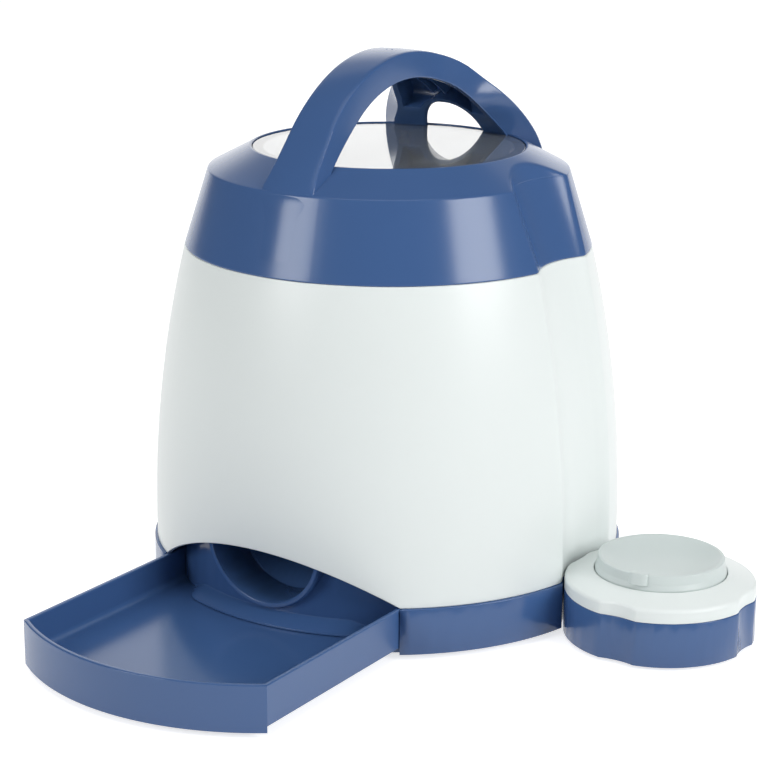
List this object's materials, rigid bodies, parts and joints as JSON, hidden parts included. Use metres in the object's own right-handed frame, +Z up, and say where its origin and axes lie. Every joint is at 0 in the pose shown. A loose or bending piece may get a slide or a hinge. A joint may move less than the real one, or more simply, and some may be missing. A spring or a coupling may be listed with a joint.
{
  "type": "treat-dispensing dog puzzle toy",
  "caption": "Treat-dispensing puzzle toy for dogs: bowed drum feeder with carrying handle, windowed lift-off lid, pull-out tray and a docked remote press button.",
  "frame": {"origin": "on the floor, in the middle of the rectangle that the whole object covers with the tray out and the remote docked; the feeder's own axis stands 35.0 mm to -X and 43.1 mm to +Y of it", "axes": "+Z up; -Y towards the tray, which is the front; +X towards the docked remote"},
  "size_m": [0.2626, 0.2832, 0.2233],
  "materials": {
    "blue_plastic": "semi-gloss moulded blue plastic",
    "white_plastic": "semi-gloss moulded off-white plastic",
    "inner_plastic": "matt moulded plastic",
    "clear_window": "clear moulded plastic window",
    "frosted_cup": "frosted translucent plastic",
    "rubber": "moulded rubber",
    "dome_rubber": "silicone rubber",
    "steel": "plated steel",
    "brass": "brass",
    "cells": "plain sleeved dry cells",
    "board": "green circuit board",
    "black_plastic": "black moulded plastic"
  },
  "bodies": {
    "feeder": {"base_tub": "blue_plastic", "base_feet": "rubber", "battery_cells": "cells", "battery_contacts": "brass", "switch_body": "black_plastic", "chassis": "blue_plastic", "body_shell": "white_plastic", "case_screws": "steel", "hopper": "inner_plastic", "wheel_housing": "blue_plastic", "housing_cover": "inner_plastic", "cover_screws": "steel", "motor": "steel", "motor_bracket": "steel", "works_screws": "steel", "control_board": "board", "board_chips": "black_plastic", "buzzer": "black_plastic"},
    "tray": {"tray": "blue_plastic"},
    "lid": {"lid_shell": "blue_plastic", "window": "clear_window", "handle": "blue_plastic", "handle_screws": "steel"},
    "wheel": {"dispensing_wheel": "inner_plastic", "wheel_shaft": "steel", "driven_gear": "inner_plastic"},
    "pinion": {"drive_pinion": "brass", "motor_shaft": "steel"},
    "switch": {"switch_knob": "black_plastic"},
    "battery_door": {"battery_door": "blue_plastic"},
    "remote": {"remote_base": "blue_plastic", "remote_top": "white_plastic", "remote_board": "board", "return_dome": "dome_rubber", "remote_cells": "cells", "remote_contacts": "brass", "remote_feet": "rubber", "remote_screws": "steel"},
    "cup": {"press_cup": "frosted_cup"},
    "remote_door": {"remote_door": "blue_plastic"}
  },
  "joints": [
    {"name": "tray_slide", "type": "slide", "parent": "feeder", "child": "tray", "axis": [0, 1, 0], "range_m": [0, 0.0862]},
    {"name": "lid_lift", "type": "slide", "parent": "feeder", "child": "lid", "axis": [0, 0, 1], "range_m": [0, 0.12]},
    {"name": "wheel_spin", "type": "hinge", "parent": "feeder", "child": "wheel", "pos_m": [-0.03498, 0.0431, 0.0834], "axis": [1, 0, 0], "continuous": true},
    {"name": "pinion_spin", "type": "hinge", "parent": "feeder", "child": "pinion", "pos_m": [-0.03498, 0.06725, 0.0834], "axis": [1, 0, 0], "continuous": true},
    {"name": "power_switch", "type": "slide", "parent": "feeder", "child": "switch", "axis": [1, 0, 0], "range_m": [0, 0.003]},
    {"name": "battery_door_out", "type": "slide", "parent": "feeder", "child": "battery_door", "axis": [0, 0, -1], "range_m": [0, 0.025]},
    {"name": "remote_undock", "type": "slide", "parent": "feeder", "child": "remote", "axis": [1, 0, 0], "range_m": [0, 0.15]},
    {"name": "cup_press", "type": "slide", "parent": "remote", "child": "cup", "axis": [0, 0, -1], "range_m": [0, 0.002], "stiffness_N_per_m": 1500, "deforming": ["return_dome"]},
    {"name": "remote_door_out", "type": "slide", "parent": "remote", "child": "remote_door", "axis": [0, 0, -1], "range_m": [0, 0.02]}
  ],
  "couplings": [
    {"joint": "pinion_spin", "follows": "wheel_spin", "ratio": -3}
  ]
}
